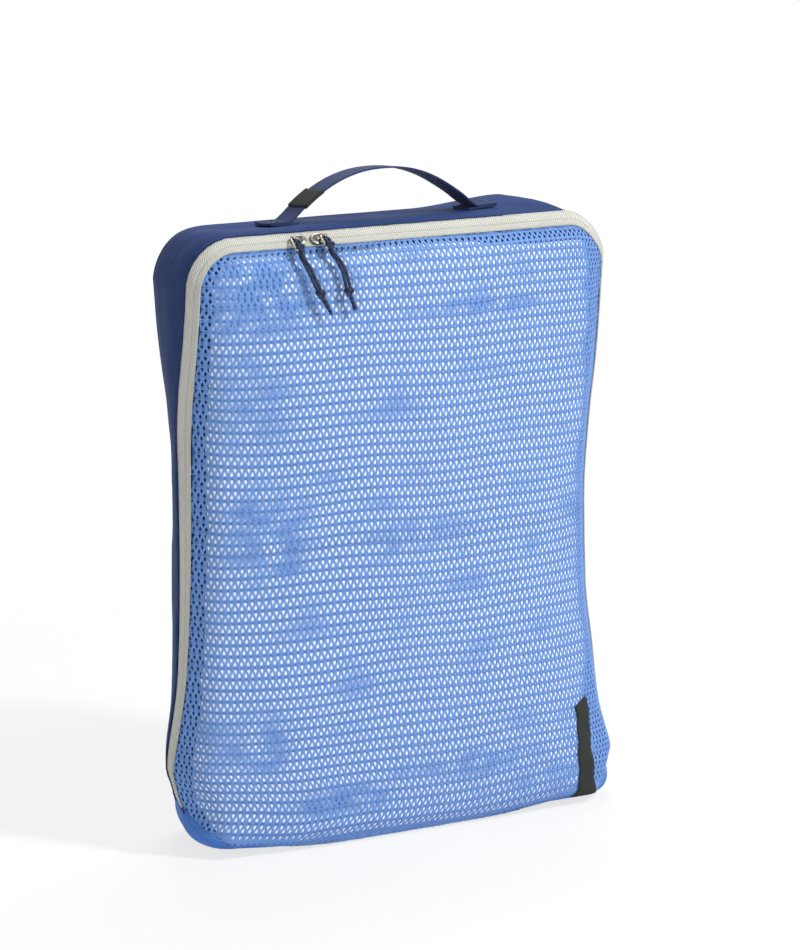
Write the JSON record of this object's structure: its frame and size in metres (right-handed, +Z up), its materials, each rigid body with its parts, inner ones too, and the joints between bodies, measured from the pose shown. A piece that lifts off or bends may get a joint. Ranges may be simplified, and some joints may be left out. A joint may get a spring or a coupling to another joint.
{
  "type": "packing cube",
  "caption": "Upright zipped fabric pouch with a net front flap, a webbing carry handle on top and a coil zip with corded sliders, for packing clothes in a case.",
  "frame": {"origin": "on the floor, under the middle of the flat foot", "axes": "+Z up to the carry handle, -Y out of the net front, +X to the right seen from the front"},
  "size_m": [0.3556, 0.1137, 0.4885],
  "materials": {
    "navy_cloth": "plain weave",
    "blue_cloth": "plain weave",
    "binding": "folded tape",
    "zip_tape": "woven tape",
    "zip_coil": "satin",
    "bar_tack": "thread",
    "webbing": "flat webbing",
    "label": "matt",
    "net": "knitted net",
    "slider_metal": "dark nickel plate",
    "pull_cord": "braided cord"
  },
  "bodies": {
    "shell": {"back_panel": "navy_cloth", "gusset": "navy_cloth", "bottom_panel": "blue_cloth", "back_seam_binding": "binding", "gusset_seam_binding": "binding", "gusset_zip_tape": "zip_tape", "gusset_zip_coil": "zip_coil", "hinge_hem": "blue_cloth", "zip_end_stops": "bar_tack", "handle_end_left": "webbing", "handle_end_right": "webbing", "handle_stitching": "bar_tack", "handle_leg_left": "webbing", "handle_leg_right": "webbing"},
    "front_flap": {"net_panel": "net", "flap_zip_tape": "zip_tape", "flap_zip_coil": "zip_coil", "flap_seam_binding": "binding", "front_label": "label"},
    "left_slider": {"left_slider": "slider_metal"},
    "right_slider": {"right_slider": "slider_metal"},
    "left_pull": {"left_bail": "slider_metal", "left_pull_cord": "pull_cord", "left_cord_knot": "pull_cord"},
    "right_pull": {"right_bail": "slider_metal", "right_pull_cord": "pull_cord", "right_cord_knot": "pull_cord"},
    "handle": {"handle_grip": "webbing", "handle_label": "label"}
  },
  "joints": [
    {"name": "flap_hinge", "type": "hinge", "parent": "shell", "child": "front_flap", "pos_m": [0, -0.046, 0.006], "axis": [1, 0, 0], "range_deg": [0, 75], "deforming": ["gusset_zip_tape", "gusset_zip_coil"]},
    {"name": "left_slider_run", "type": "slide", "parent": "front_flap", "child": "left_slider", "axis": [-1, 0, 0], "range_m": [0, 0.042]},
    {"name": "right_slider_run", "type": "slide", "parent": "front_flap", "child": "right_slider", "axis": [1, 0, 0], "range_m": [0, 0.197]},
    {"name": "left_pull_swing", "type": "hinge", "parent": "left_slider", "child": "left_pull", "pos_m": [-0.0891, -0.04388, 0.44536], "axis": [-1, 0, 0], "range_deg": [0, 110]},
    {"name": "right_pull_swing", "type": "hinge", "parent": "right_slider", "child": "right_pull", "pos_m": [-0.0659, -0.04388, 0.44536], "axis": [-1, 0, 0], "range_deg": [0, 110]},
    {"name": "handle_swing", "type": "hinge", "parent": "shell", "child": "handle", "pos_m": [0, 0.001, 0.4532], "axis": [1, 0, 0], "range_deg": [-48, 48], "stiffness_Nm_per_rad": 0.02, "deforming": ["handle_leg_left", "handle_leg_right"]}
  ]
}
